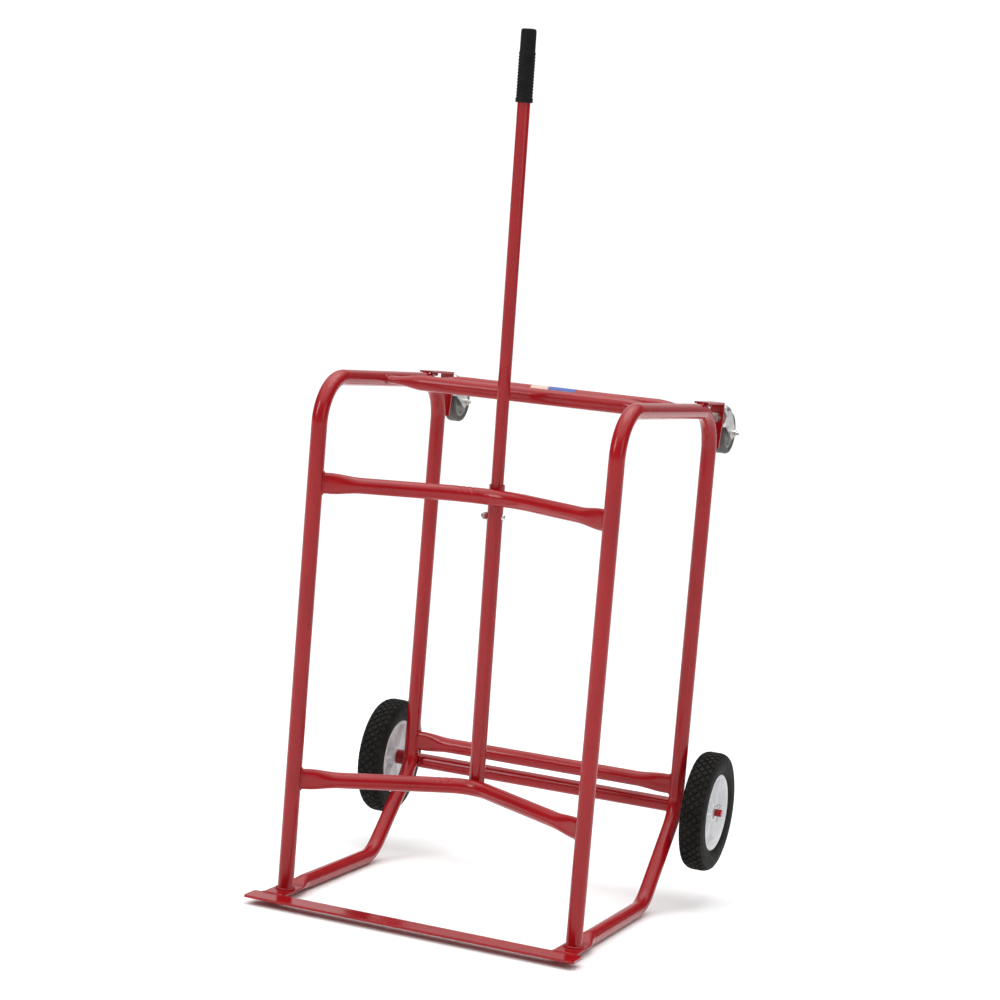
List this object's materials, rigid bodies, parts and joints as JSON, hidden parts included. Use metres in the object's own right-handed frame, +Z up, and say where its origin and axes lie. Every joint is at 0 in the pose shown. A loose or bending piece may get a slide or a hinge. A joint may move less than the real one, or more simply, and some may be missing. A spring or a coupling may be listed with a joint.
{
  "type": "drum dolly",
  "caption": "Tubular steel drum trolley with two looped side frames, bowed crossbars, toe bar, telescoping pull handle, rear wheels and swivel casters for use on its back.",
  "frame": {"origin": "centre of the plan outline at floor level, where the base rails rest", "axes": "+X to the right seen from the front (toe bar side), +Y to the rear towards the wheels, +Z up; uprights rake forward about 3 degrees"},
  "size_m": [0.814, 0.8456, 1.7681],
  "materials": {
    "red_enamel": "gloss enamel",
    "zinc_plated": "bright zinc",
    "black_tyre": "matt",
    "white_rim": "satin",
    "black_grip": "matt",
    "grey_rubber": "matt",
    "grey_core": "satin"
  },
  "bodies": {
    "frame": {"axle_stub_left": "red_enamel", "axle_stub_right": "red_enamel", "axle_tube": "red_enamel", "axle_washers_left": "zinc_plated", "axle_washers_right": "zinc_plated", "caster_bracket_left": "red_enamel", "caster_bracket_right": "red_enamel", "caster_raceway_left": "zinc_plated", "caster_raceway_right": "zinc_plated", "caster_stem_left": "zinc_plated", "caster_stem_nut_left": "zinc_plated", "caster_stem_nut_right": "zinc_plated", "caster_stem_right": "zinc_plated", "clamp_nut": "zinc_plated", "clamp_screw": "zinc_plated", "guide_screw": "zinc_plated", "handle_post": "red_enamel", "lower_front_crossbar": "red_enamel", "rear_crossbar": "red_enamel", "side_frame_left": "red_enamel", "side_frame_right": "red_enamel", "split_pin_left": "zinc_plated", "split_pin_right": "zinc_plated", "toe_bar": "red_enamel", "top_front_crossbar": "red_enamel", "top_rear_crossbar": "red_enamel", "upper_front_crossbar": "red_enamel"},
    "handle": {"handle_tube": "red_enamel", "handle_grip": "black_grip"},
    "wheel_left": {"wheel_tyre_left": "black_tyre", "wheel_rim_left": "white_rim"},
    "caster_left": {"caster_fork_left": "zinc_plated", "caster_axle_bolt_left": "zinc_plated", "caster_axle_nut_left": "zinc_plated"},
    "caster_wheel_left": {"caster_wheel_core_left": "grey_core", "caster_tread_left": "grey_rubber"},
    "wheel_right": {"wheel_tyre_right": "black_tyre", "wheel_rim_right": "white_rim"},
    "caster_right": {"caster_fork_right": "zinc_plated", "caster_axle_bolt_right": "zinc_plated", "caster_axle_nut_right": "zinc_plated"},
    "caster_wheel_right": {"caster_wheel_core_right": "grey_core", "caster_tread_right": "grey_rubber"}
  },
  "joints": [
    {"name": "handle_slide", "type": "slide", "parent": "frame", "child": "handle", "axis": [0, -0.0877, 0.9961], "range_m": [-0.3, 0]},
    {"name": "wheel_spin_left", "type": "hinge", "parent": "frame", "child": "wheel_left", "pos_m": [-0.374, 0.29575, 0.19948], "axis": [1, 0, 0], "continuous": true},
    {"name": "caster_swivel_left", "type": "hinge", "parent": "frame", "child": "caster_left", "pos_m": [-0.311, 0.25947, 1.04206], "axis": [0, 0.9986, 0.0532], "continuous": true},
    {"name": "caster_roll_left", "type": "hinge", "parent": "caster_left", "child": "caster_wheel_left", "pos_m": [-0.311, 0.32432, 1.00896], "axis": [1, 0, 0], "continuous": true},
    {"name": "wheel_spin_right", "type": "hinge", "parent": "frame", "child": "wheel_right", "pos_m": [0.374, 0.29575, 0.19948], "axis": [1, 0, 0], "continuous": true},
    {"name": "caster_swivel_right", "type": "hinge", "parent": "frame", "child": "caster_right", "pos_m": [0.311, 0.25947, 1.04206], "axis": [0, 0.9986, 0.0532], "continuous": true},
    {"name": "caster_roll_right", "type": "hinge", "parent": "caster_right", "child": "caster_wheel_right", "pos_m": [0.311, 0.32432, 1.00896], "axis": [1, 0, 0], "continuous": true}
  ]
}
